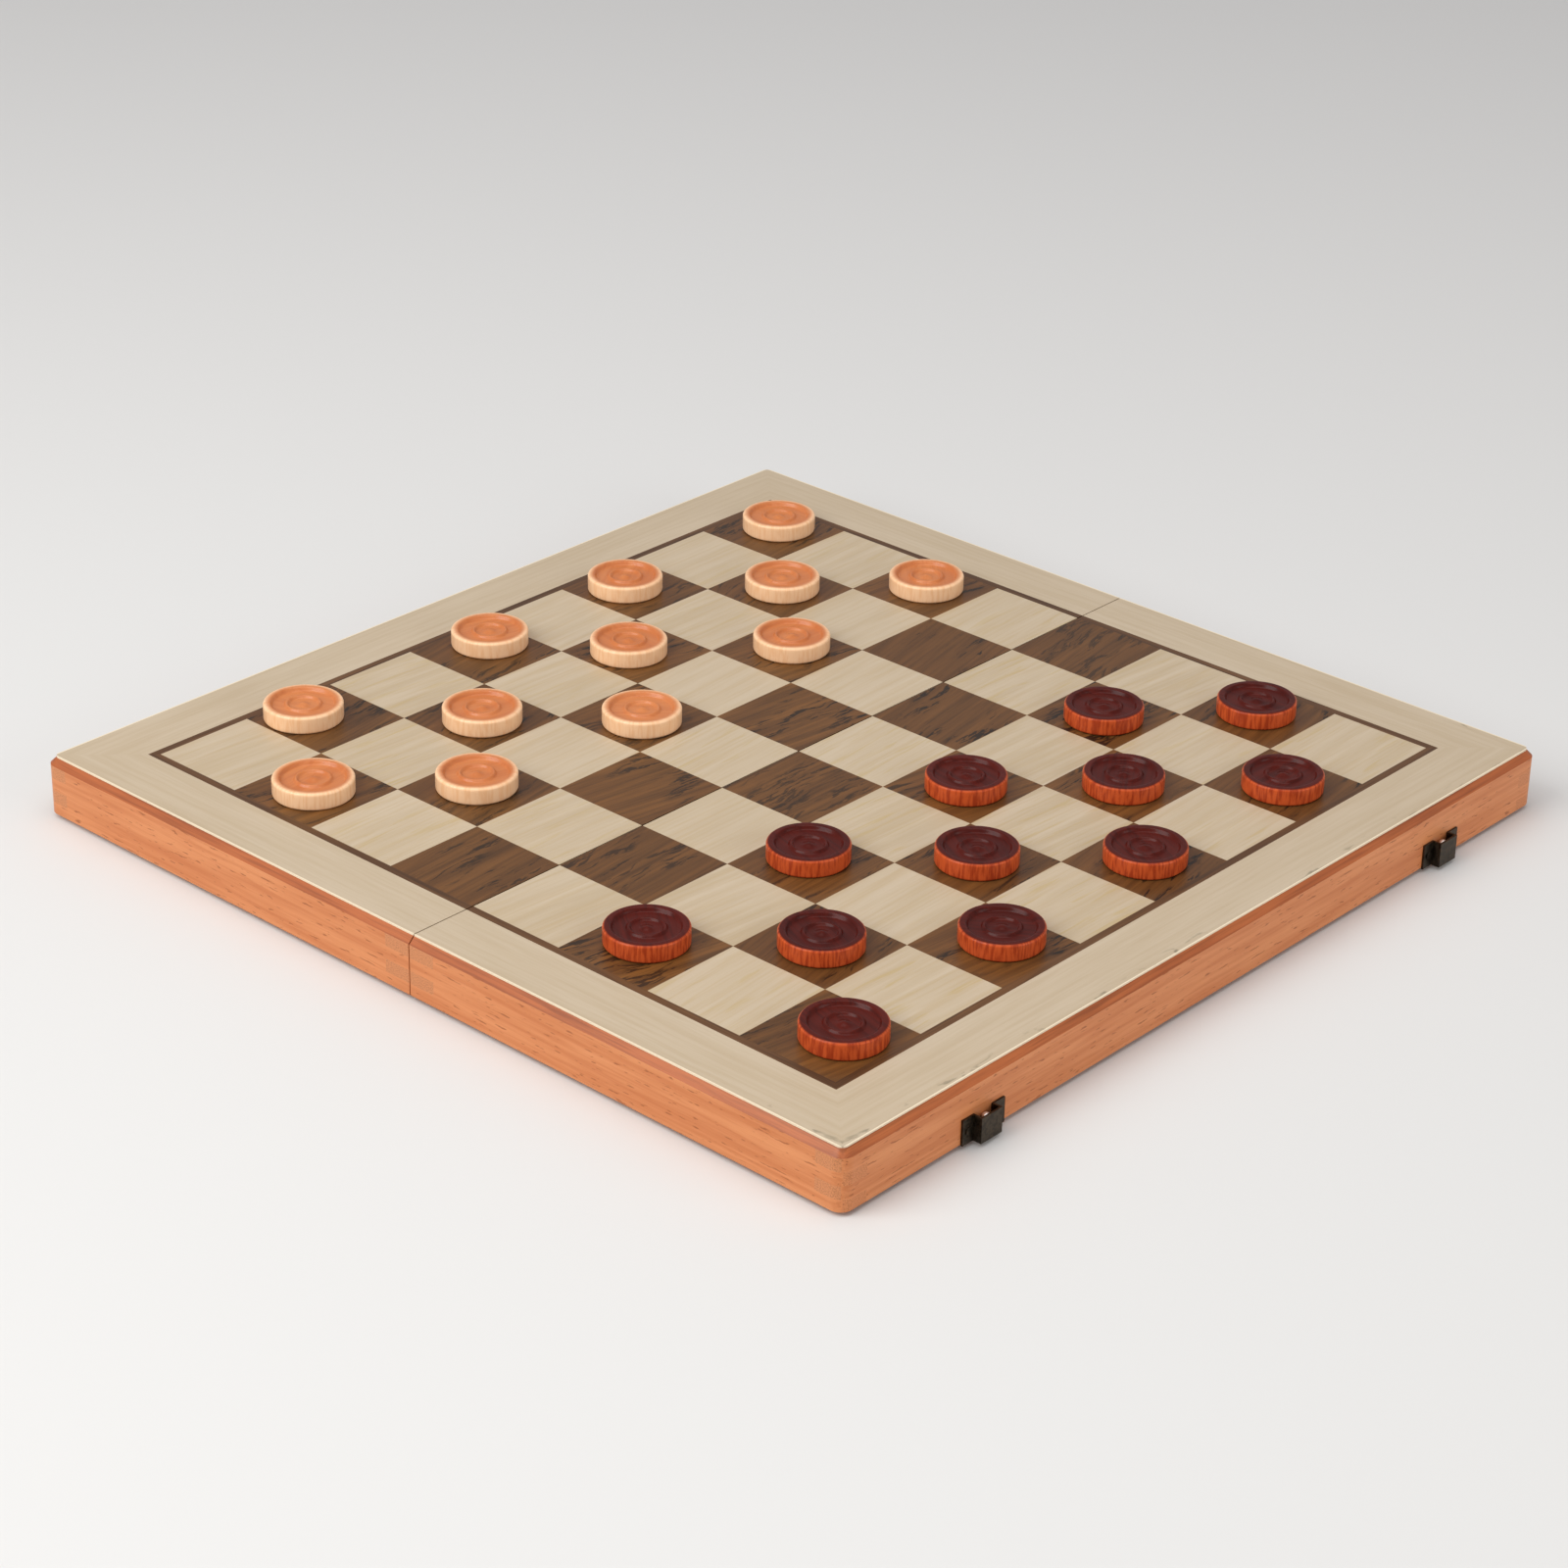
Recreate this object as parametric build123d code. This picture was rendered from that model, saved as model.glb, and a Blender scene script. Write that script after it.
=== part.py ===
from build123d import *
import os

# A folding games board: two shallow wooden trays hinged rim to rim.
# Opened flat it is a chess and draughts board, with a backgammon field inside.
# Millimetres. Seam along X at y = 0, catches on the front (-Y) face, table at z = 0.

# Whole board
square = 41.3
squares_across = 8
half_width = 195.0
wall_height = 20.0
panel_thickness = 2.4
veneer_thickness = 0.6
wall_thickness = 11.5
seam_gap = 0.5
corner_radius = 5.0
edge_chamfer = 2.4
rim_arris = 0.5
line_width = 3.2

# Hinges: the pin lies in the plane of the rims, so the halves fold face to face
knuckle_radius = 1.4
pin_radius = 0.65
pin_hole_radius = 0.7
hinge_length = 40.0
hinge_places = (-100.0, 100.0)
knuckles = 5
knuckle_gap = 0.2
knuckle_clearance = 0.3
leaf_thickness = 1.0
leaf_depth = 9.5
screw_spacing = 14.0
screw_row = 5.8
screw_head_radius = 1.7
screw_head_height = 0.8
screw_shank_radius = 0.9
screw_length = 8.0

# Catches: a folded sheet channel nailed to the wall, holding a round magnet
catch_places = (-127.7, 131.8)
catch_height = 9.5
catch_lift = 0.1
catch_width = 21.0
catch_box_width = 10.4
catch_depth = 4.2
catch_sheet = 0.8
magnet_radius = 1.6
magnet_dome = 1.8
magnet_top = 8.7
magnet_bottom = 0.2
nail_head_radius = 1.3
nail_head_height = 0.5
nail_shank_radius = 0.6
nail_length = 7.0

# Backgammon field: twelve points in each tray, six from each end
points_per_end = 6
point_length = 150.0

# Draughts: turned discs, dished on both faces with a ring and a boss
draught_radius = 15.0
draught_thickness = 6.8
draught_edge = 1.0
dish_radius = 12.6
dish_depth = 1.5
dish_curve = 1.4
ring_radius = 6.2
ring_half_width = 1.3
ring_height = 1.0
boss_radius = 3.3
boss_height = 0.9

# Column, row, and how far off the square's centre each piece was set down
dark_places = (
    (0, 0, 1.5, -4.5), (2, 0, 3.5, -0.5), (4, 0, 0.5, 0.0), (6, 0, -2.5, -1.5),
    (1, 1, -0.5, -1.0), (3, 1, 0.0, 0.5), (5, 1, -1.5, -1.0), (7, 1, 0.0, 1.0),
    (0, 2, 2.5, 2.0), (2, 2, 2.0, 3.0), (4, 2, -1.0, -2.0), (6, 2, -3.0, -2.0),
)
light_places = (
    (1, 5, 0.5, 1.5), (3, 5, -2.5, -4.0), (5, 5, 2.5, 0.0), (7, 5, 0.0, -0.5),
    (0, 6, -2.0, -1.0), (2, 6, -2.0, -2.0), (4, 6, -3.5, 1.0), (6, 6, 0.0, -1.0),
    (1, 7, -5.0, 6.5), (3, 7, 6.0, 4.0), (5, 7, -2.5, 3.0), (7, 7, 3.5, 0.5),
)

# Levels and edges that follow from the sizes above
rim = knuckle_radius
wall_top = rim + wall_height
panel_top = wall_top + panel_thickness
surface = panel_top + veneer_thickness
seam = seam_gap / 2
board_edge = half_width - edge_chamfer
grid_edge = square * squares_across / 2
line_edge = grid_edge + line_width
tray_edge = half_width - wall_thickness
tray_seam = seam + wall_thickness
finger = wall_height / 4
point_width = (tray_edge - tray_seam) / points_per_end


def block(x0, x1, y0, y1, z0, z1):
    """A box between two corners."""
    return Pos((x0 + x1) / 2, (y0 + y1) / 2, (z0 + z1) / 2) * Box(x1 - x0, y1 - y0, z1 - z0)


def rounded_plate(edge, radius, z0, z1):
    """The outline of the back half, square at the seam and rounded at its two outer corners."""
    plate = block(-edge, edge, seam, edge, z0, z1)
    corners = plate.edges().filter_by(Axis.Z).group_by(Axis.Y)[-1]
    return fillet(corners, radius)


def tray_envelope():
    """The outer form of a half without its veneer: arris round the rim, chamfer round the panel."""
    body = rounded_plate(half_width, corner_radius, rim, panel_top)
    levels = body.edges().group_by(Axis.Z)
    outer = [edge for edge in levels[-1] if edge.center().Y > seam + 1]
    body = chamfer(outer, edge_chamfer)
    low = [edge for edge in body.edges().group_by(Axis.Z)[0] if edge.center().Y > seam + 1]
    return chamfer(low, rim_arris)


def finger_slots(first):
    """Every second finger's height, as (bottom, top) pairs."""
    return [(rim + finger * n, rim + finger * (n + 1)) for n in range(first, 4, 2)]


def long_wall(envelope, y0, y1):
    """A wall along X. Its fingers show end grain on the side faces, at the second and top heights."""
    wall = block(-half_width, half_width, y0, y1, rim, wall_top)
    for low, high in finger_slots(0):
        for end in (-1, 1):
            x0, x1 = sorted((end * tray_edge, end * half_width))
            wall -= block(x0, x1, y0, y1, low, high)
    return wall & envelope


def side_wall(envelope, end):
    """A wall along Y, notched at both ends for the long walls' fingers."""
    x0, x1 = sorted((end * tray_edge, end * half_width))
    wall = block(x0, x1, seam, half_width, rim, wall_top)
    for low, high in finger_slots(1):
        wall -= block(x0, x1, seam, tray_seam, low, high)
        wall -= block(x0, x1, tray_edge, half_width, low, high)
    return wall & envelope


def mitred_frame(inner, outer, outer_radius):
    """Three strips round a half's squares, from inner to outer, mitred at the two corners."""
    if outer_radius:
        plate = rounded_plate(outer, outer_radius, panel_top, surface)
    else:
        plate = block(-outer, outer, seam, outer, panel_top, surface)
    plate -= block(-inner, inner, seam, inner, panel_top, surface)
    reach = outer + 1
    strips = []
    for corners in (
        ((0, 0), (reach, reach), (-reach, reach)),
        ((0, 0), (-reach, reach), (-reach, 0)),
        ((0, 0), (reach, 0), (reach, reach)),
    ):
        wedge = Pos(0, 0, panel_top) * extrude(Polygon(*corners, align=None), veneer_thickness, dir=(0, 0, 1))
        strips.append((plate & wedge).solids()[0])
    return strips


def chess_squares(dark):
    """The squares of one colour on the back half, cut from veneer and set edge to edge."""
    found = []
    for column in range(squares_across):
        for row in range(squares_across // 2, squares_across):
            if ((column + row) % 2 == 0) == dark:
                x0 = -grid_edge + column * square
                y0 = max(seam, -grid_edge + row * square)
                y1 = -grid_edge + (row + 1) * square
                found.append(block(x0, x0 + square, y0, y1, panel_top, surface))
    return found


def backgammon_point(end, number):
    """A long triangle of veneer, its base on an end wall and its tip towards the middle."""
    y0 = tray_seam + number * point_width
    base = end * tray_edge
    tip = end * (tray_edge - point_length)
    outline = Polygon((base, y0), (base, y0 + point_width), (tip, y0 + point_width / 2), align=None)
    return Pos(0, 0, wall_top - veneer_thickness) * extrude(outline, veneer_thickness, dir=(0, 0, 1))


def field_lining(points):
    """The lining veneer under the panel, cut out where the points are let in."""
    sheet = block(-tray_edge, tray_edge, tray_seam, tray_edge, wall_top - veneer_thickness, wall_top)
    for point in points:
        sheet -= point
    return sheet


def hinge_leaf(x, first):
    """A leaf let in flush with the rim. Its knuckles start at number first and take every second one."""
    leaf = block(x - hinge_length / 2, x + hinge_length / 2,
                 knuckle_radius + knuckle_clearance, leaf_depth, rim, rim + leaf_thickness)
    pitch = hinge_length / knuckles
    for number in range(first, knuckles, 2):
        x0 = x - hinge_length / 2 + number * pitch + knuckle_gap / 2
        x1 = x0 + pitch - knuckle_gap
        middle = (x0 + x1) / 2
        leaf += Pos(middle, 0, rim) * Rot(0, 90, 0) * Cylinder(knuckle_radius, x1 - x0)
        leaf += block(x0, x1, 0, knuckle_radius + knuckle_clearance, rim + 0.3, rim + leaf_thickness)
    return leaf - Pos(x, 0, rim) * Rot(0, 90, 0) * Cylinder(pin_hole_radius, hinge_length + 2)


def hinge_screw(x):
    """A small countersunk screw, driven up into the rim."""
    head = Pos(x, screw_row, rim + screw_head_height / 2) * Cone(
        screw_head_radius, screw_shank_radius, screw_head_height)
    shank = upright_cylinder(x, screw_row, rim + screw_head_height, rim + screw_length, screw_shank_radius)
    return head + shank


def upright_cylinder(x, y, z0, z1, radius):
    """An upright cylinder between two levels."""
    return Pos(x, y, (z0 + z1) / 2) * Cylinder(radius, z1 - z0)


def knuckle_recess(x):
    """The rounded groove cut along both seam edges so that the barrel has room to turn."""
    return Pos(x, 0, rim) * Rot(0, 90, 0) * Cylinder(knuckle_radius + knuckle_clearance, hinge_length + 1)


def catch_housing(x):
    """A hat-shaped channel of folded sheet, open above and below, flat against the outer wall."""
    face = half_width
    low = rim + catch_lift
    high = rim + catch_lift + catch_height
    box = catch_box_width / 2
    body = block(x - catch_width / 2, x + catch_width / 2, face, face + catch_sheet, low, high)
    body += block(x - box, x + box, face, face + catch_depth, low, high)
    inside = box - catch_sheet
    return body - block(x - inside, x + inside, face, face + catch_depth - catch_sheet, low, high)


def catch_magnet(x):
    """A plated round magnet standing in the channel, its upper end domed."""
    centre = half_width + (catch_depth - catch_sheet) / 2
    magnet = upright_cylinder(x, centre, rim + magnet_bottom, rim + magnet_top, magnet_radius)
    dome = Pos(x, centre, rim + magnet_top - magnet_dome) * Sphere(magnet_dome)
    dome += upright_cylinder(x, centre, rim, rim + magnet_top - magnet_dome, magnet_dome)
    return magnet & dome


def catch_nail(x, side):
    """A round-headed nail through one flange of the channel into the wall."""
    middle = x + side * (catch_width + catch_box_width) / 4
    level = rim + catch_lift + catch_height / 2
    head_y = half_width + catch_sheet + nail_head_height / 2
    shank_y = half_width + catch_sheet - nail_length / 2
    head = Pos(middle, head_y, level) * Rot(90, 0, 0) * Cylinder(nail_head_radius, nail_head_height)
    return head + Pos(middle, shank_y, level) * Rot(90, 0, 0) * Cylinder(nail_shank_radius, nail_length)


def draught():
    """A turned disc with the same dished face above and below."""
    top = draught_thickness / 2
    floor = top - dish_depth
    groove = ring_radius - ring_half_width
    dish_flat = dish_radius - dish_curve
    rim_flat = draught_radius - draught_edge
    with BuildPart() as part:
        with BuildSketch(Plane.XZ):
            with BuildLine():
                Polyline((0, 0), (0, floor + boss_height))
                ThreePointArc((0, floor + boss_height), (boss_radius * 0.6, floor + boss_height * 0.72),
                              (boss_radius, floor))
                Line((boss_radius, floor), (groove, floor))
                ThreePointArc((groove, floor), (ring_radius, floor + ring_height),
                              (ring_radius + ring_half_width, floor))
                Line((ring_radius + ring_half_width, floor), (dish_flat, floor))
                ThreePointArc((dish_flat, floor), (dish_radius - 0.4, floor + 0.55), (dish_radius, top))
                Line((dish_radius, top), (rim_flat, top))
                RadiusArc((rim_flat, top), (draught_radius, top - draught_edge), draught_edge)
                Line((draught_radius, top - draught_edge), (draught_radius, 0))
                Line((draught_radius, 0), (0, 0))
            make_face()
        revolve(axis=Axis.Z)
        mirror(about=Plane.XY)
    return part.part.solids()[0]


def front(shape):
    """The same piece on the front half."""
    return mirror(shape, about=Plane.XZ)


def write(node, shapes):
    """Write one node, as its one solid or as a group of separate solids."""
    solids = [solid for shape in shapes for solid in shape.solids()]
    item = solids[0] if len(solids) == 1 else Compound(children=solids)
    export_step(item, "parts/" + node + ".step")


os.makedirs("parts", exist_ok=True)

envelope = tray_envelope()
screws = [hinge_screw(x + step * screw_spacing) for x in hinge_places for step in (-1, 0, 1)]
nails = [catch_nail(x, side) for x in catch_places for side in (-1, 1)]

outer_wall = long_wall(envelope, tray_edge, half_width)
centre_wall = long_wall(envelope, seam, tray_seam)
for x in hinge_places:
    centre_wall -= knuckle_recess(x)
    bed_start = x - hinge_length / 2
    centre_wall -= block(bed_start, bed_start + hinge_length, seam, leaf_depth, rim, rim + leaf_thickness)
for screw in screws:
    centre_wall -= screw
for nail in nails:
    outer_wall -= nail

housings = [catch_housing(x) for x in catch_places]
housings = [housing - nails[2 * n] - nails[2 * n + 1] for n, housing in enumerate(housings)]
points = [backgammon_point(end, number) for end in (-1, 1) for number in range(points_per_end)]
light_points = [points[n] for n in range(len(points)) if (n + n // points_per_end) % 2 == 0]
dark_points = [points[n] for n in range(len(points)) if (n + n // points_per_end) % 2 == 1]

# Pieces that both halves have, drawn once for the back half
tray_pieces = {
    "panel": [envelope & block(-half_width, half_width, seam, half_width, wall_top, panel_top)],
    "outer_wall": [outer_wall],
    "centre_wall": [centre_wall],
    "left_wall": [side_wall(envelope, -1)],
    "right_wall": [side_wall(envelope, 1)],
    "border_veneer": mitred_frame(line_edge, board_edge, corner_radius - edge_chamfer),
    "line_inlay": mitred_frame(grid_edge, line_edge, 0),
    "field_lining": [field_lining(points)],
    "light_points": light_points,
    "dark_points": dark_points,
    "hinge_screws": screws,
    "catch_housings": housings,
    "catch_magnets": [catch_magnet(x) for x in catch_places],
    "catch_nails": nails,
}
for name, shapes in tray_pieces.items():
    write("back_" + name, shapes)
    write("front_" + name, [front(shape) for shape in shapes])

# Mirroring swaps the colours of the squares, because the two halves make one chequer
write("back_light_squares", chess_squares(False))
write("back_dark_squares", chess_squares(True))
write("front_light_squares", [front(shape) for shape in chess_squares(True)])
write("front_dark_squares", [front(shape) for shape in chess_squares(False)])


def screwed(leaf):
    """A leaf with its screw holes."""
    for screw in screws:
        leaf -= screw
    return leaf


write("back_hinge_leaves", [screwed(hinge_leaf(x, 1)) for x in hinge_places])
write("front_hinge_leaves", [front(screwed(hinge_leaf(x, 0))) for x in hinge_places])
hinge_pin = Rot(0, 90, 0) * Cylinder(pin_radius, hinge_length)
write("hinge_pins", [Pos(x, 0, rim) * hinge_pin for x in hinge_places])

disc = draught()
for colour, places in (("dark", dark_places), ("light", light_places)):
    for number, (column, row, off_x, off_y) in enumerate(places, 1):
        x = -grid_edge + (column + 0.5) * square + off_x
        y = -grid_edge + (row + 0.5) * square + off_y
        piece = Pos(x, y, surface + draught_thickness / 2) * disc
        write(f"{colour}_draught_{number:02d}", [piece])
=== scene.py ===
import math
import random

import bmesh
import bpy
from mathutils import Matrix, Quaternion, Vector


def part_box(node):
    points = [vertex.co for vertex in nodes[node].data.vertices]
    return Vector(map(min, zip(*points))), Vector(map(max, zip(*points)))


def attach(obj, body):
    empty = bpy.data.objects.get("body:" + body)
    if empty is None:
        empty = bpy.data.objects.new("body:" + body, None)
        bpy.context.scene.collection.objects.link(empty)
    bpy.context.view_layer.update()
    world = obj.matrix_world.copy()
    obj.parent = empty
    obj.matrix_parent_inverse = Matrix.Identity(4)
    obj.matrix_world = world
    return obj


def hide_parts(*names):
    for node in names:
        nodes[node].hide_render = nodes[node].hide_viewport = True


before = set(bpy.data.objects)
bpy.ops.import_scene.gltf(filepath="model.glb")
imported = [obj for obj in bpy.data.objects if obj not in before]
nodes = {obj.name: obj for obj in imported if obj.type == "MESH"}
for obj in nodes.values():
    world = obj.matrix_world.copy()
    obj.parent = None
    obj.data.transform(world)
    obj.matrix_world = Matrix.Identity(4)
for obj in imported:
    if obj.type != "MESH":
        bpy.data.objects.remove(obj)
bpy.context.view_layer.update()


# The view. The camera stands where the photograph was taken from, a long lens low over the front left
# corner. A pale sheet carries the board. One large soft lamp stands on the left, with weaker ones above
# and in front.

CAMERA_PLACE = Vector((-0.9599, -0.8517, 0.6646))
CAMERA_AIM = Vector((-0.0074, 0.0002, 0.0134))
CAMERA_ROLL = math.radians(1.14)
CAMERA_LENS = 89.3
FLOOR_REACH = 6.0
SKY_COLOUR = (0.98, 0.97, 1.0, 1.0)
SKY_STRENGTH = 0.42


def plain(red, green, blue):
    """A colour given in 0-255 as seen, turned into the linear value that a shader takes."""
    levels = [level / 255 for level in (red, green, blue)]
    return [v / 12.92 if v <= 0.04045 else ((v + 0.055) / 1.055) ** 2.4 for v in levels] + [1.0]


def add(tree, kind, links=(), **settings):
    """A shader node with its properties set, and its inputs given as (socket, value or output) pairs."""
    node = tree.nodes.new("ShaderNode" + kind)
    for name, value in settings.items():
        setattr(node, name, value)
    for socket, value in links:
        if isinstance(value, bpy.types.NodeSocket):
            tree.links.new(value, node.inputs[socket])
        else:
            node.inputs[socket].default_value = value
    return node


def maths(tree, operation, first, second=0.0):
    return add(tree, "Math", ((0, first), (1, second)), operation=operation).outputs[0]


def vector_maths(tree, operation, first, second):
    return add(tree, "VectorMath", ((0, first), (1, second)), operation=operation).outputs[0]


def blend_colour(tree, share, first, second):
    """The first colour where share is 0 and the second where it is 1."""
    return add(tree, "Mix", ((0, share), (6, first), (7, second)), data_type="RGBA").outputs[2]


def rise(tree, value, low, high):
    """0 below low and 1 above high, with a smooth step between."""
    step = add(tree, "MapRange", (("Value", value), ("From Min", low), ("From Max", high)),
               interpolation_type="SMOOTHSTEP")
    return step.outputs["Result"]


def noise(tree, vector, stretch, scale, detail=3.0, distortion=0.0):
    """Noise drawn out along X by the stretch."""
    drawn = vector_maths(tree, "MULTIPLY", vector, (1.0 / stretch, 1.0, 1.0))
    found = add(tree, "TexNoise", (("Vector", drawn), ("Scale", scale), ("Detail", detail),
                                   ("Distortion", distortion)))
    return found.outputs["Fac"]


def new_material(name):
    material = bpy.data.materials.new(name)
    material.use_nodes = True
    tree = material.node_tree
    return material, tree, tree.nodes["Principled BSDF"]


def lamp(name, place, aim, size, power):
    light = bpy.data.lights.new(name, "AREA")
    light.shape = "RECTANGLE"
    light.size, light.size_y = size
    light.energy = power
    item = bpy.data.objects.new(name, light)
    item.location = place
    item.rotation_euler = (Vector(aim) - Vector(place)).to_track_quat("-Z", "Y").to_euler()
    bpy.context.scene.collection.objects.link(item)


lens = bpy.data.cameras.new("camera")
lens.lens = CAMERA_LENS
lens.sensor_width = 36.0
lens.clip_end = 50.0
camera = bpy.data.objects.new("camera", lens)
camera.location = CAMERA_PLACE
camera.rotation_mode = "QUATERNION"
camera.rotation_quaternion = ((CAMERA_AIM - CAMERA_PLACE).to_track_quat("-Z", "Y")
                              @ Quaternion((0, 0, 1), CAMERA_ROLL))
bpy.context.scene.collection.objects.link(camera)
bpy.context.scene.camera = camera
bpy.context.scene.view_settings.view_transform = "Standard"

world = bpy.data.worlds.new("world")
world.use_nodes = True
world.node_tree.nodes["Background"].inputs["Color"].default_value = SKY_COLOUR
world.node_tree.nodes["Background"].inputs["Strength"].default_value = SKY_STRENGTH
bpy.context.scene.world = world

lamp("window_lamp", (-1.5, 0.5, 1.3), (0, 0, 0), (1.4, 1.4), 26.0)
lamp("top_lamp", (-0.3, -0.2, 1.9), (0, 0, 0), (1.8, 1.8), 15.0)
lamp("front_lamp", (0.3, -2.0, 0.7), (0, 0, 0), (1.4, 0.9), 9.0)

floor_mesh = bpy.data.meshes.new("floor")
floor_mesh.from_pydata([(-FLOOR_REACH, -FLOOR_REACH, 0), (FLOOR_REACH, -FLOOR_REACH, 0),
                        (FLOOR_REACH, FLOOR_REACH, 0), (-FLOOR_REACH, FLOOR_REACH, 0)], [], [(0, 1, 2, 3)])
floor = bpy.data.objects.new("floor", floor_mesh)
bpy.context.scene.collection.objects.link(floor)
floor_paint, _, floor_shader = new_material("pale_floor")
floor_shader.inputs["Base Color"].default_value = plain(222, 221, 218)
floor_shader.inputs["Roughness"].default_value = 0.7
floor_mesh.materials.append(floor_paint)


# Wood figure, shared by every veneer and wall: fine fibres along the grain over slow changes of tone.
# Each material brings its own colours, its own grain direction and its own streaks or flecks.

MM = 0.001


def group_sockets(group, inputs, outputs):
    """Named sockets on a node group, given as (name, kind) pairs, with its input and output nodes."""
    for direction, sockets in (("INPUT", inputs), ("OUTPUT", outputs)):
        for name, kind in sockets:
            group.interface.new_socket(name, in_out=direction, socket_type="NodeSocket" + kind)
    return group.nodes.new("NodeGroupInput").outputs, group.nodes.new("NodeGroupOutput").inputs


def wood_figure_group():
    group = bpy.data.node_groups.new("wood_figure", "ShaderNodeTree")
    given, result = group_sockets(
        group,
        (("Vector", "Vector"), ("Tone", "Color"), ("Second tone", "Color"), ("Fibre", "Color"),
         ("Fibre amount", "Float")),
        (("Colour", "Color"), ("Height", "Float")))
    slow = rise(group, noise(group, given["Vector"], 14.0, 190.0, 3.0, 0.4), 0.3, 0.72)
    bands = rise(group, noise(group, given["Vector"], 30.0, 620.0, 4.0, 0.2), 0.42, 0.68)
    fibres = noise(group, given["Vector"], 34.0, 2600.0, 4.0)
    tone = blend_colour(group, slow, given["Tone"], given["Second tone"])
    share = maths(group, "MULTIPLY", bands, given["Fibre amount"])
    tone = blend_colour(group, share, tone, given["Fibre"])
    fine_share = maths(group, "MULTIPLY", given["Fibre amount"], 0.6)
    dark = maths(group, "MULTIPLY", rise(group, fibres, 0.45, 0.75), fine_share)
    tone = blend_colour(group, dark, tone, given["Fibre"])
    group.links.new(tone, result["Colour"])
    group.links.new(fibres, result["Height"])
    return group


def streak_group():
    """Black mineral streaks in walnut: broken, wandering lines, gathered in patches."""
    group = bpy.data.node_groups.new("walnut_streaks", "ShaderNodeTree")
    given, result = group_sockets(group, (("Vector", "Vector"),), (("Mask", "Float"),))
    wander = add(group, "TexNoise", (("Vector", given["Vector"]), ("Scale", 45.0),
                                     ("Detail", 2.0))).outputs["Color"]
    pushed = vector_maths(group, "MULTIPLY", vector_maths(group, "SUBTRACT", wander, (0.5, 0.5, 0.5)),
                          (0.0, 0.012, 0.0))
    moved = vector_maths(group, "ADD", given["Vector"], pushed)
    lines = rise(group, noise(group, moved, 9.0, 430.0, 7.0, 0.25), 0.52, 0.57)
    patches = rise(group, noise(group, moved, 2.6, 62.0, 2.0), 0.45, 0.56)
    breaks = rise(group, noise(group, given["Vector"], 5.0, 1300.0, 3.0), 0.38, 0.48)
    mask = maths(group, "MULTIPLY", maths(group, "MULTIPLY", lines, patches), breaks)
    group.links.new(mask, result["Mask"])
    return group


def grain_turn_group():
    """Turns the grain to run along a mitred strip: along X on the long strips, along Y on the side strips."""
    group = bpy.data.node_groups.new("grain_along_strip", "ShaderNodeTree")
    given, result = group_sockets(group, (("Vector", "Vector"),), (("Vector", "Vector"),))
    parts = add(group, "SeparateXYZ", ((0, given["Vector"]),)).outputs
    side = maths(group, "GREATER_THAN", maths(group, "ABSOLUTE", parts[0]),
                 maths(group, "ABSOLUTE", parts[1]))
    turned = add(group, "CombineXYZ", ((0, parts[1]), (1, parts[0]), (2, parts[2]))).outputs[0]
    chosen = add(group, "Mix", ((0, side), (4, given["Vector"]), (5, turned)), data_type="VECTOR").outputs[1]
    group.links.new(chosen, result["Vector"])
    return group


wood_figure = wood_figure_group()
walnut_streaks = streak_group()
grain_along_strip = grain_turn_group()


def use_group(tree, group, links):
    node = tree.nodes.new("ShaderNodeGroup")
    node.node_tree = group
    for socket, value in links:
        if isinstance(value, bpy.types.NodeSocket):
            tree.links.new(value, node.inputs[socket])
        else:
            node.inputs[socket].default_value = value
    return node.outputs


def place_of(tree):
    return add(tree, "TexCoord").outputs["Object"]


VARNISH_SPECULAR = 0.28
VARNISH_ROUGHNESS = 0.22
FIBRE_RELIEF = 0.1 * MM


def varnish(tree, shader, height, bump, roughness, coat, specular=VARNISH_SPECULAR,
            coat_roughness=VARNISH_ROUGHNESS):
    """A thin clear coat over the wood, with the fibres just felt through it."""
    felt = add(tree, "Bump", (("Height", height), ("Strength", bump), ("Distance", FIBRE_RELIEF)))
    tree.links.new(felt.outputs["Normal"], shader.inputs["Normal"])
    shader.inputs["Roughness"].default_value = roughness
    shader.inputs["Specular IOR Level"].default_value = specular
    shader.inputs["Coat Weight"].default_value = coat
    shader.inputs["Coat Roughness"].default_value = coat_roughness


def finish_node(name, material):
    """Gives a CAD node its material in every slot."""
    mesh = nodes[name].data
    mesh.materials.clear()
    mesh.materials.append(material)


# Tray walls: four beech boards to a tray, 20 mm high, finger-jointed at the corners and glued.
# Long faces show short dark flecks along the grain, and the finger ends show slightly duller end grain.

WALL_TONE = plain(220, 144, 92)
WALL_SECOND = plain(205, 126, 75)
WALL_FIBRE = plain(190, 106, 56)
WALL_FLECK = plain(150, 80, 38)
LONG_WALL_ENDS = (plain(208, 136, 88), plain(178, 114, 72))
SIDE_WALL_ENDS = (plain(210, 134, 84), plain(184, 112, 66))
SQUARE_ON = 0.75


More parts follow.
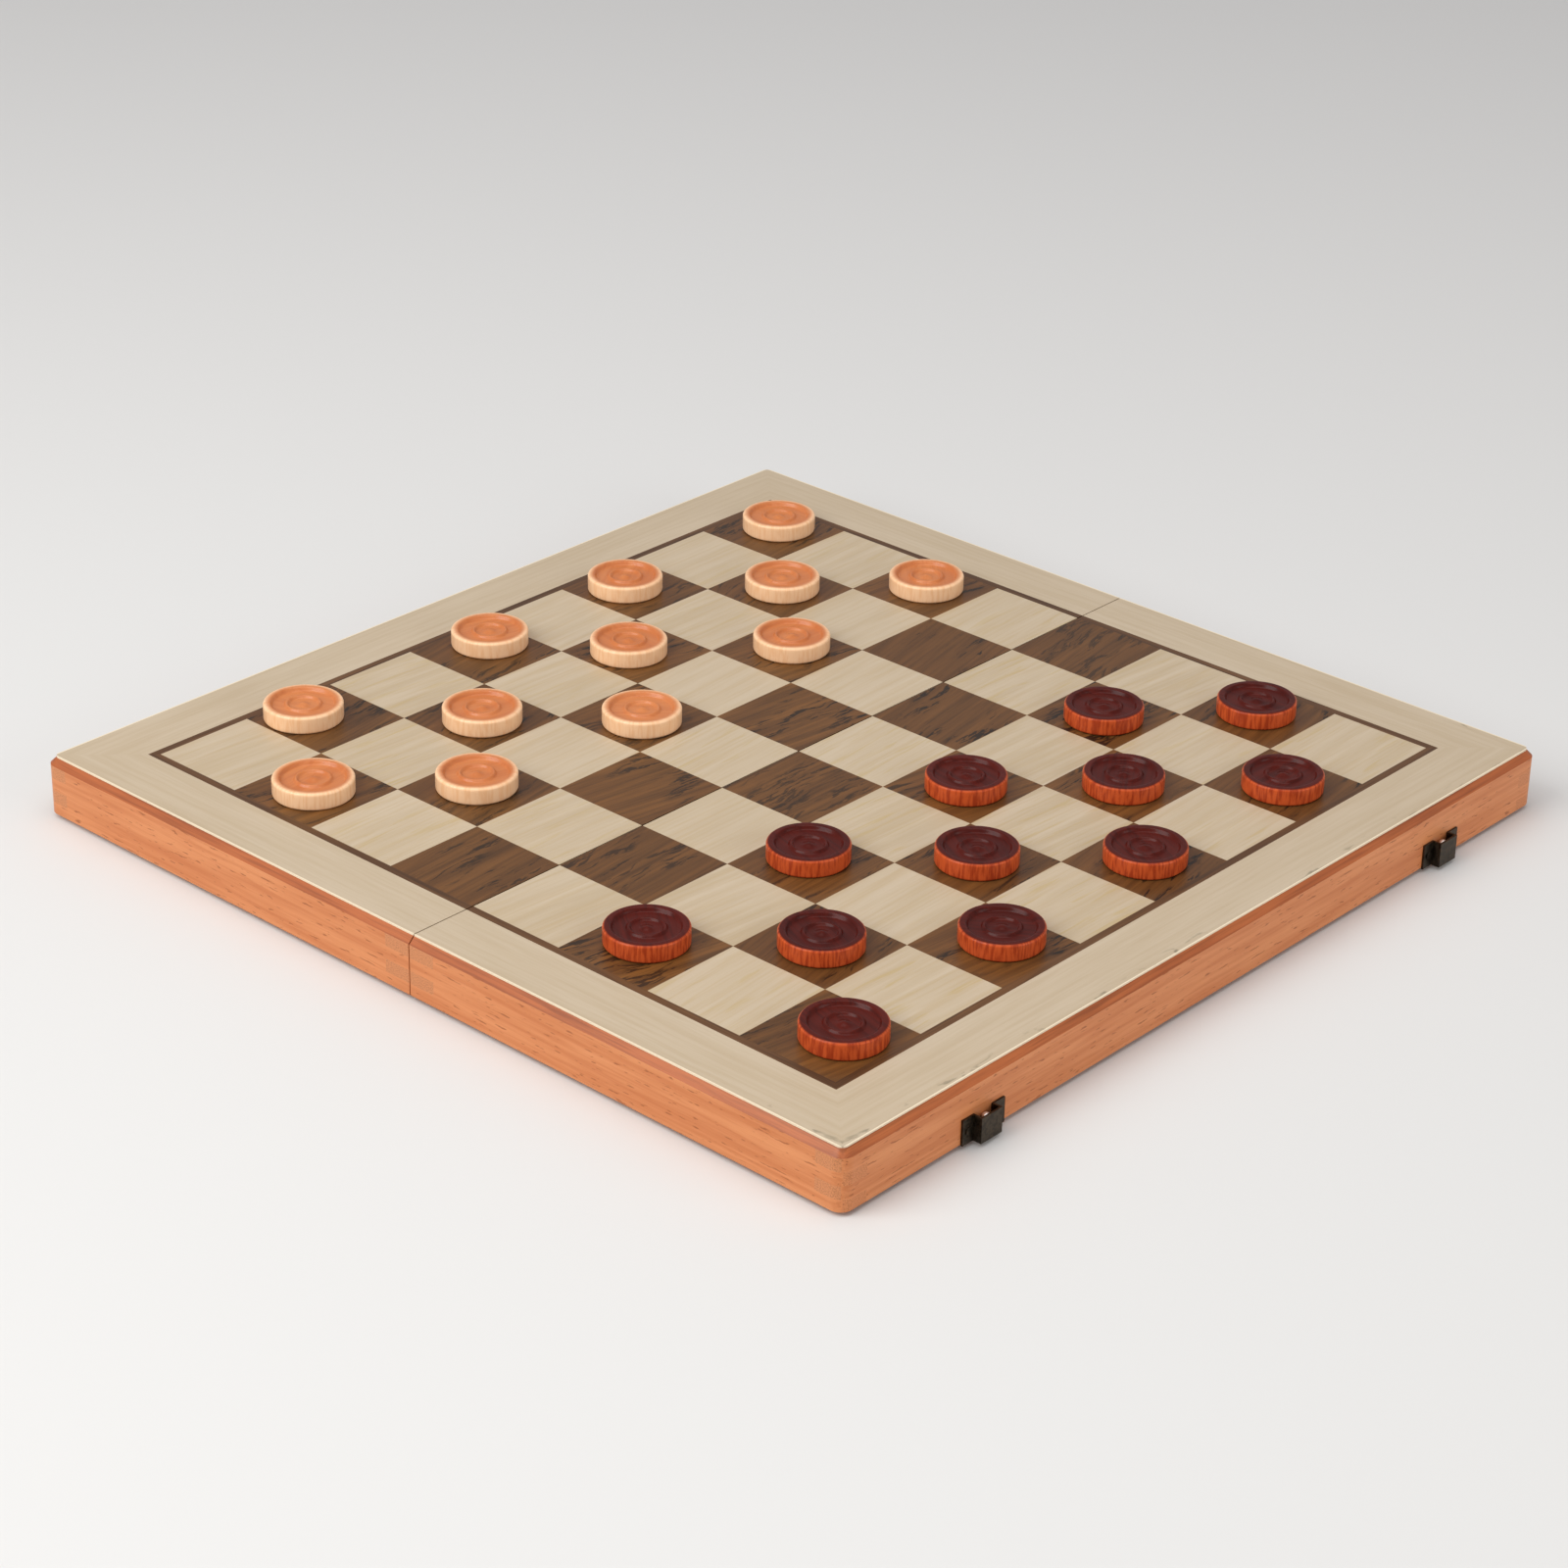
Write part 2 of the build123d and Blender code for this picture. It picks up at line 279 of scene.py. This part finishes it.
def wall_material(name, turned, ends):
    """Beech along X, or along Y if turned. A face that looks along the grain shows the end colours."""
    material, tree, shader = new_material(name)
    vector = place_of(tree)
    facing = add(tree, "SeparateXYZ", ((0, add(tree, "TexCoord").outputs["Normal"]),)).outputs
    if turned:
        parts = add(tree, "SeparateXYZ", ((0, vector),)).outputs
        vector = add(tree, "CombineXYZ", ((0, parts[1]), (1, parts[0]), (2, parts[2]))).outputs[0]
    figure = use_group(tree, wood_figure, (("Vector", vector), ("Tone", WALL_TONE),
                                           ("Second tone", WALL_SECOND), ("Fibre", WALL_FIBRE),
                                           ("Fibre amount", 0.5)))
    flecks = rise(tree, noise(tree, vector, 6.5, 1150.0, 2.0), 0.63, 0.7)
    colour = blend_colour(tree, maths(tree, "MULTIPLY", flecks, 0.75), figure["Colour"], WALL_FLECK)
    pores = add(tree, "TexNoise", (("Vector", place_of(tree)), ("Scale", 2200.0),
                                   ("Detail", 3.0))).outputs["Fac"]
    end_grain = blend_colour(tree, rise(tree, pores, 0.42, 0.66), *ends)
    is_end = maths(tree, "GREATER_THAN", maths(tree, "ABSOLUTE", facing[1 if turned else 0]), SQUARE_ON)
    tree.links.new(blend_colour(tree, is_end, colour, end_grain), shader.inputs["Base Color"])
    varnish(tree, shader, figure["Height"], 0.35, 0.45, 0.12)
    return material


long_wall_wood = wall_material("beech_along_x", False, LONG_WALL_ENDS)
side_wall_wood = wall_material("beech_along_y", True, SIDE_WALL_ENDS)
for half in ("front_", "back_"):
    for wall in ("outer_wall", "centre_wall"):
        finish_node(half + wall, long_wall_wood)
    for wall in ("left_wall", "right_wall"):
        finish_node(half + wall, side_wall_wood)


# Panel: a thin board glued on the walls. Only its chamfered edge shows, stained red-brown,
# as a band round the board between the pale veneer and the walls.

panel_wood, tree, shader = new_material("stained_panel_edge")
along = use_group(tree, grain_along_strip, (("Vector", place_of(tree)),))
figure = use_group(tree, wood_figure, (("Vector", along["Vector"]), ("Tone", plain(184, 102, 54)),
                                       ("Second tone", plain(162, 84, 42)), ("Fibre", plain(122, 62, 32)),
                                       ("Fibre amount", 0.6)))
tree.links.new(figure["Colour"], shader.inputs["Base Color"])
varnish(tree, shader, figure["Height"], 0.4, 0.45, 0.2)
for half in ("front_", "back_"):
    finish_node(half + "panel", panel_wood)


# Border: three mitred strips of pale veneer to each half, grain along each strip.
# The outer arris carries a painted highlight, a thin light line, and the front one is a little grimed from
# handling.

BORDER_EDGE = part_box("front_border_veneer")[1].x
PAINTED_HIGHLIGHT_WIDTH = 0.55 * MM
GRIME_STARTS = 5.0 * MM
GRIME_FULL = 0.6 * MM
FRONT_STRIP_Y = -150 * MM

border_wood, tree, shader = new_material("pale_border_veneer_with_painted_highlight")
place = place_of(tree)
along = use_group(tree, grain_along_strip, (("Vector", place),))
figure = use_group(tree, wood_figure, (("Vector", along["Vector"]), ("Tone", plain(198, 180, 154)),
                                       ("Second tone", plain(192, 173, 145)), ("Fibre", plain(178, 156, 124)),
                                       ("Fibre amount", 0.3)))
across = add(tree, "SeparateXYZ", ((0, place),)).outputs
reach = maths(tree, "MAXIMUM", maths(tree, "ABSOLUTE", across[0]), maths(tree, "ABSOLUTE", across[1]))
# Painted highlight: a thin strip along the outer edge of the border, given a light colour below.
painted_highlight_strip = maths(tree, "GREATER_THAN", reach, BORDER_EDGE - PAINTED_HIGHLIGHT_WIDTH)
near_edge = rise(tree, reach, BORDER_EDGE - GRIME_STARTS, BORDER_EDGE - GRIME_FULL)
front_side = maths(tree, "LESS_THAN", across[1], FRONT_STRIP_Y)
smudges = rise(tree, noise(tree, along["Vector"], 3.0, 260.0, 5.0, 0.8), 0.57, 0.68)
grime = maths(tree, "MULTIPLY", maths(tree, "MULTIPLY", near_edge, smudges),
              maths(tree, "MULTIPLY", front_side, 0.7))
colour = blend_colour(tree, grime, figure["Colour"], plain(112, 104, 82))
# The painted highlight, a light line laid over the outer arris.
colour = blend_colour(tree, maths(tree, "MULTIPLY", painted_highlight_strip, 0.75), colour, plain(246, 230, 200))
tree.links.new(colour, shader.inputs["Base Color"])
varnish(tree, shader, figure["Height"], 0.2, 0.42, 0.12)
for half in ("front_", "back_"):
    finish_node(half + "border_veneer", border_wood)


# Line inlay: a narrow strip of the dark veneer, 3.2 mm wide, let in between the squares and the border.
# Its grain runs along each strip, and its corners are mitred.

line_wood, tree, shader = new_material("dark_line_veneer")
along = use_group(tree, grain_along_strip, (("Vector", place_of(tree)),))
figure = use_group(tree, wood_figure, (("Vector", along["Vector"]), ("Tone", plain(108, 72, 40)),
                                       ("Second tone", plain(86, 55, 28)), ("Fibre", plain(60, 38, 20)),
                                       ("Fibre amount", 0.6)))
tree.links.new(figure["Colour"], shader.inputs["Base Color"])
varnish(tree, shader, figure["Height"], 0.3, 0.42, 0.1)
for half in ("front_", "back_"):
    finish_node(half + "line_inlay", line_wood)


# Squares: pale and walnut veneer, all with the grain along the seam. Each square is cut from another
# place of the sheet, so its tone, its streaks and the lean of its grain are its own.

GRID_EDGE = max(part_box("front_light_squares")[1].x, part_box("front_dark_squares")[1].x)
SQUARE = GRID_EDGE / 4
JOINT_WIDTH = 0.16 * MM


def square_group():
    """For each square: a place on the sheet of its own, a random shade, and its thin glued joints."""
    group = bpy.data.node_groups.new("square_on_sheet", "ShaderNodeTree")
    given, result = group_sockets(group, (("Vector", "Vector"), ("Lean", "Float")),
                                  (("Vector", "Vector"), ("Shade", "Float"), ("Second shade", "Float"),
                                   ("Joint", "Float")))
    from_corner = vector_maths(group, "ADD", given["Vector"], (GRID_EDGE, GRID_EDGE, 0.0))
    counted = vector_maths(group, "DIVIDE", from_corner, (SQUARE, SQUARE, 1.0))
    parts = add(group, "SeparateXYZ", ((0, counted),)).outputs
    column = maths(group, "FLOOR", parts[0])
    row = maths(group, "FLOOR", parts[1])
    cell = add(group, "CombineXYZ", ((0, column), (1, row), (2, 0.5))).outputs[0]
    chance = add(group, "TexWhiteNoise", (("Vector", cell),), noise_dimensions="3D").outputs
    local = add(group, "CombineXYZ", ((0, maths(group, "SUBTRACT", parts[0], column)),
                                      (1, maths(group, "SUBTRACT", parts[1], row)), (2, 0.0))).outputs[0]
    local = vector_maths(group, "MULTIPLY", local, (SQUARE, SQUARE, 1.0))
    angle = maths(group, "MULTIPLY", maths(group, "SUBTRACT", chance["Value"], 0.5), given["Lean"])
    turned = add(group, "VectorRotate", (("Vector", local), ("Center", (SQUARE / 2, SQUARE / 2, 0.0)),
                                         ("Angle", angle)), rotation_type="Z_AXIS").outputs[0]
    jump = vector_maths(group, "MULTIPLY", chance["Color"], (3.0, 3.0, 3.0))
    moved = vector_maths(group, "ADD", turned, jump)
    gaps = []
    for part in parts[:2]:
        share = maths(group, "FRACT", part)
        gaps.append(maths(group, "MINIMUM", share, maths(group, "SUBTRACT", 1.0, share)))
    nearest = maths(group, "MULTIPLY", maths(group, "MINIMUM", gaps[0], gaps[1]), SQUARE)
    colours = add(group, "SeparateColor", ((0, chance["Color"]),)).outputs
    group.links.new(moved, result["Vector"])
    group.links.new(colours[0], result["Shade"])
    group.links.new(colours[1], result["Second shade"])
    group.links.new(maths(group, "LESS_THAN", nearest, JOINT_WIDTH), result["Joint"])
    return group


square_on_sheet = square_group()

light_wood, tree, shader = new_material("pale_square_veneer")
cut = use_group(tree, square_on_sheet, (("Vector", place_of(tree)), ("Lean", 0.16)))
tone = blend_colour(tree, cut["Shade"], plain(196, 177, 149), plain(188, 168, 138))
figure = use_group(tree, wood_figure, (("Vector", cut["Vector"]), ("Tone", tone),
                                       ("Second tone", plain(200, 182, 156)),
                                       ("Fibre", plain(184, 158, 116)), ("Fibre amount", 0.32)))
yellow = rise(tree, noise(tree, cut["Vector"], 12.0, 420.0, 3.0, 0.5), 0.55, 0.68)
yellow = maths(tree, "MULTIPLY", yellow, maths(tree, "MULTIPLY", cut["Second shade"], 0.55))
colour = blend_colour(tree, yellow, figure["Colour"], plain(186, 160, 104))
colour = blend_colour(tree, maths(tree, "MULTIPLY", cut["Joint"], 0.5), colour, plain(150, 122, 88))
tree.links.new(colour, shader.inputs["Base Color"])
varnish(tree, shader, figure["Height"], 0.2, 0.4, 0.12)

dark_wood, tree, shader = new_material("walnut_square_veneer")
cut = use_group(tree, square_on_sheet, (("Vector", place_of(tree)), ("Lean", 0.5)))
tone = blend_colour(tree, cut["Shade"], plain(108, 70, 34), plain(126, 82, 38))
figure = use_group(tree, wood_figure, (("Vector", cut["Vector"]), ("Tone", tone),
                                       ("Second tone", plain(94, 60, 28)),
                                       ("Fibre", plain(66, 42, 19)), ("Fibre amount", 0.5)))
streaks = use_group(tree, walnut_streaks, (("Vector", cut["Vector"]),))["Mask"]
streak_share = maths(tree, "ADD", 0.55, maths(tree, "MULTIPLY", cut["Second shade"], 0.45))
streaks = maths(tree, "MULTIPLY", streaks, streak_share)
colour = blend_colour(tree, streaks, figure["Colour"], plain(22, 17, 11))
tree.links.new(colour, shader.inputs["Base Color"])
varnish(tree, shader, figure["Height"], 0.25, 0.4, 0.1)

for half in ("front_", "back_"):
    finish_node(half + "light_squares", light_wood)
    finish_node(half + "dark_squares", dark_wood)


# Backgammon field: a mid-brown lining inside each tray, under the panel, with light and dark points of veneer
# let into it, six from each end.

field_wood, tree, shader = new_material("field_lining_veneer")
figure = use_group(tree, wood_figure, (("Vector", place_of(tree)), ("Tone", plain(186, 140, 96)),
                                       ("Second tone", plain(172, 124, 80)), ("Fibre", plain(142, 98, 60)),
                                       ("Fibre amount", 0.5)))
tree.links.new(figure["Colour"], shader.inputs["Base Color"])
varnish(tree, shader, figure["Height"], 0.3, 0.42, 0.2)


def point_material(name, tone, second, fibre):
    material, tree, shader = new_material(name)
    figure = use_group(tree, wood_figure, (("Vector", place_of(tree)), ("Tone", tone),
                                           ("Second tone", second), ("Fibre", fibre),
                                           ("Fibre amount", 0.5)))
    tree.links.new(figure["Colour"], shader.inputs["Base Color"])
    varnish(tree, shader, figure["Height"], 0.3, 0.42, 0.2)
    return material


pale_point = point_material("pale_point_veneer", plain(212, 190, 156), plain(202, 178, 142),
                            plain(184, 156, 112))
dark_point = point_material("dark_point_veneer", plain(104, 70, 46), plain(86, 56, 34), plain(52, 34, 20))
for half in ("front_", "back_"):
    finish_node(half + "field_lining", field_wood)
    finish_node(half + "light_points", pale_point)
    finish_node(half + "dark_points", dark_point)


# Metalwork: brass hinges let into the rims on steel pins and screws, and catches of blackened sheet,
# nailed on, each with a bright plated magnet standing in its channel.

def metal_material(name, tone, second, roughness, rough_second):
    """Worn metal: two tones and two roughnesses in soft patches, with fine scratches."""
    material, tree, shader = new_material(name)
    place = place_of(tree)
    patches = rise(tree, noise(tree, place, 1.0, 700.0, 5.0, 0.6), 0.38, 0.66)
    scratches = noise(tree, place, 18.0, 5200.0, 2.0)
    tree.links.new(blend_colour(tree, patches, tone, second), shader.inputs["Base Color"])
    worn = maths(tree, "ADD", roughness, maths(tree, "MULTIPLY", patches, rough_second - roughness))
    tree.links.new(worn, shader.inputs["Roughness"])
    felt = add(tree, "Bump", (("Height", scratches), ("Strength", 0.2), ("Distance", 0.00005)))
    tree.links.new(felt.outputs["Normal"], shader.inputs["Normal"])
    shader.inputs["Metallic"].default_value = 1.0
    return material


hinge_brass = metal_material("brushed_brass", plain(190, 156, 92), plain(166, 132, 74), 0.28, 0.42)
zinc_steel = metal_material("zinc_steel", plain(196, 196, 192), plain(168, 168, 164), 0.25, 0.4)
nickel = metal_material("nickel_plate", plain(246, 242, 238), plain(236, 230, 226), 0.3, 0.42)
blackened = metal_material("blackened_sheet", plain(58, 52, 44), plain(84, 74, 62), 0.36, 0.5)

finish_node("hinge_pins", zinc_steel)
for half in ("front_", "back_"):
    finish_node(half + "hinge_leaves", hinge_brass)
    finish_node(half + "hinge_screws", zinc_steel)
    finish_node(half + "catch_magnets", nickel)
    finish_node(half + "catch_housings", blackened)
    finish_node(half + "catch_nails", blackened)


# Draughts: turned beech discs, dished on both faces with a ring and a boss, edges eased.
# The pale ones are lacquered clear; their light rim and side over a more orange dish are partly the wood's
# own tone, partly painted light: the lit side and rim, the shaded dish. The dark ones are stained deep
# red-brown on the faces, then lacquered.

TURNED_STEPS = 128
RADIUS = (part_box("light_draught_01")[1].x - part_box("light_draught_01")[0].x) / 2
HALF_THICK = (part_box("light_draught_01")[1].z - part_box("light_draught_01")[0].z) / 2
EDGE_ROUND = 1.0 * MM
DISH_RADIUS = 12.6 * MM
DISH_DEPTH = 1.5 * MM
DISH_SLOPE = 1.5 * MM
RING_RADIUS = 6.2 * MM
RING_HALF = 1.3 * MM
RING_HEIGHT = 1.0 * MM
BOSS_RADIUS = 3.3 * MM
BOSS_HEIGHT = 0.9 * MM
LACQUER_ROUGHNESS = 0.16
TURN_SEED = 24


def face_height(radius):
    """The turned face's height above the disc's middle plane, at a distance from the axis."""
    floor_level = HALF_THICK - DISH_DEPTH
    if radius >= DISH_RADIUS:
        over = max(0.0, radius - (RADIUS - EDGE_ROUND))
        return HALF_THICK - EDGE_ROUND + math.sqrt(max(0.0, EDGE_ROUND ** 2 - over ** 2))
    if radius > DISH_RADIUS - DISH_SLOPE:
        share = (radius - DISH_RADIUS + DISH_SLOPE) / DISH_SLOPE
        return floor_level + DISH_DEPTH * (1 - math.cos(math.pi * share)) / 2
    from_ring = abs(radius - RING_RADIUS) / RING_HALF
    if from_ring < 1:
        return floor_level + RING_HEIGHT * (1 + math.cos(math.pi * from_ring)) / 2
    if radius < BOSS_RADIUS:
        return floor_level + BOSS_HEIGHT * (1 + math.cos(math.pi * radius / BOSS_RADIUS)) / 2
    return floor_level


def turned_profile():
    """Points from the top's centre out over the edge to the middle plane, closer where the form is tight."""
    boss = [BOSS_RADIUS * n / 8 for n in range(1, 9)]
    ring = [RING_RADIUS + RING_HALF * n / 6 for n in range(-6, 7)]
    slope = [DISH_RADIUS - DISH_SLOPE * (1 - n / 8) for n in range(9)]
    flat_rim = [DISH_RADIUS + (RADIUS - EDGE_ROUND - DISH_RADIUS) * n / 3 for n in range(1, 4)]
    found = [(radius, face_height(radius)) for radius in boss + ring + slope + flat_rim]
    for n in range(1, 9):
        angle = math.pi / 2 * n / 8
        found.append((RADIUS - EDGE_ROUND + EDGE_ROUND * math.sin(angle),
                      HALF_THICK - EDGE_ROUND + EDGE_ROUND * math.cos(angle)))
    found.append((RADIUS, (HALF_THICK - EDGE_ROUND) / 2))
    return found


def turned_disc(name):
    """The whole disc as one closed mesh, its two faces alike."""
    half_profile = turned_profile()
    lower_half = [(radius, -height) for radius, height in reversed(half_profile)]
    profile = half_profile + [(RADIUS, 0.0)] + lower_half
    shape = bmesh.new()
    top = shape.verts.new((0, 0, face_height(0.0)))
    bottom = shape.verts.new((0, 0, -face_height(0.0)))
    rings = []
    for radius, height in profile:
        turns = [2 * math.pi * n / TURNED_STEPS for n in range(TURNED_STEPS)]
        rings.append([shape.verts.new((radius * math.cos(a), radius * math.sin(a), height)) for a in turns])
    for n in range(TURNED_STEPS):
        after = (n + 1) % TURNED_STEPS
        shape.faces.new((top, rings[0][n], rings[0][after]))
        shape.faces.new((bottom, rings[-1][after], rings[-1][n]))
        for upper, lower in zip(rings, rings[1:]):
            shape.faces.new((upper[n], lower[n], lower[after], upper[after]))
    for face in shape.faces:
        face.smooth = True
    mesh = bpy.data.meshes.new(name)
    shape.to_mesh(mesh)
    shape.free()
    return mesh


def draught_material(name, face_tone, face_second, side_tone_and_painted_light, side_second_and_painted_light, fibre, spread, specular, coat):
    """Turned wood. The side colour starts within the spread of the edge, with upright lines of cut fibre. On
    the pale pieces the spread reaches over the rim, and there the side colour is partly painted light, for
    the lit rim and side.
    """
    material, tree, shader = new_material(name)
    place = place_of(tree)
    parts = add(tree, "SeparateXYZ", ((0, place),)).outputs
    radius = maths(tree, "SQRT", maths(tree, "ADD", maths(tree, "MULTIPLY", parts[0], parts[0]),
                                       maths(tree, "MULTIPLY", parts[1], parts[1])))
    chance = add(tree, "ObjectInfo").outputs["Random"]
    shift = add(tree, "CombineXYZ", ((0, maths(tree, "MULTIPLY", chance, 3.0)), (1, chance),
                                     (2, chance))).outputs[0]
    along = vector_maths(tree, "ADD", place, shift)
    faces = blend_colour(tree, chance, face_tone, face_second)
    figure = use_group(tree, wood_figure, (("Vector", along), ("Tone", faces), ("Second tone", face_second),
                                           ("Fibre", fibre), ("Fibre amount", 0.4)))
    around = add(tree, "Math", ((0, parts[1]), (1, parts[0])), operation="ARCTAN2").outputs[0]
    upright = add(tree, "CombineXYZ", ((0, maths(tree, "MULTIPLY", parts[2], 0.15)),
                                       (1, maths(tree, "MULTIPLY", around, 0.015)), (2, chance))).outputs[0]
    lines = noise(tree, upright, 1.0, 900.0, 4.0)
    side = blend_colour(tree, rise(tree, lines, 0.4, 0.65), side_tone_and_painted_light, side_second_and_painted_light)
    side_and_painted_light_share = rise(tree, radius, RADIUS - spread, RADIUS - 0.1 * MM)
    colour = blend_colour(tree, side_and_painted_light_share, figure["Colour"], side)
    tree.links.new(colour, shader.inputs["Base Color"])
    turned_marks = add(tree, "TexNoise", (("Vector", add(tree, "CombineXYZ", ((0, radius),)).outputs[0]),
                                          ("Scale", 2600.0), ("Detail", 2.0))).outputs["Fac"]
    varnish(tree, shader, turned_marks, 0.12, 0.34, coat, specular, LACQUER_ROUGHNESS)
    return material


# Pale pieces: the light side colour, spread 2.6 mm in over the rim, is partly painted light for the lit side
# and rim, and the darker face tone is partly painted shade in the dish.
pale_lacquer_with_painted_light = draught_material("clear_lacquered_beech_with_painted_light", plain(198, 114, 60), plain(208, 128, 74),
                                plain(253, 208, 164), plain(246, 194, 146), plain(188, 104, 54),
                                2.6 * MM, 0.28, 0.22)
dark_lacquer = draught_material("red_stained_beech", plain(72, 16, 9), plain(86, 22, 12),
                                plain(204, 88, 42), plain(164, 60, 27), plain(38, 8, 5),
                                0.9 * MM, 0.1, 0.14)

chooser = random.Random(TURN_SEED)
for colour_name, lacquer in (("dark", dark_lacquer), ("light", pale_lacquer_with_painted_light)):
    disc = turned_disc(colour_name + "_turned_disc")
    disc.materials.append(lacquer)
    for number in range(1, 13):
        node_name = f"{colour_name}_draught_{number:02d}"
        low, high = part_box(node_name)
        piece = bpy.data.objects.new(f"{colour_name}_disc_{number:02d}", disc)
        piece.location = (low + high) / 2
        piece.rotation_euler = (0, 0, chooser.uniform(0, 2 * math.pi))
        bpy.context.scene.collection.objects.link(piece)
        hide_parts(node_name)
        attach(piece, node_name)
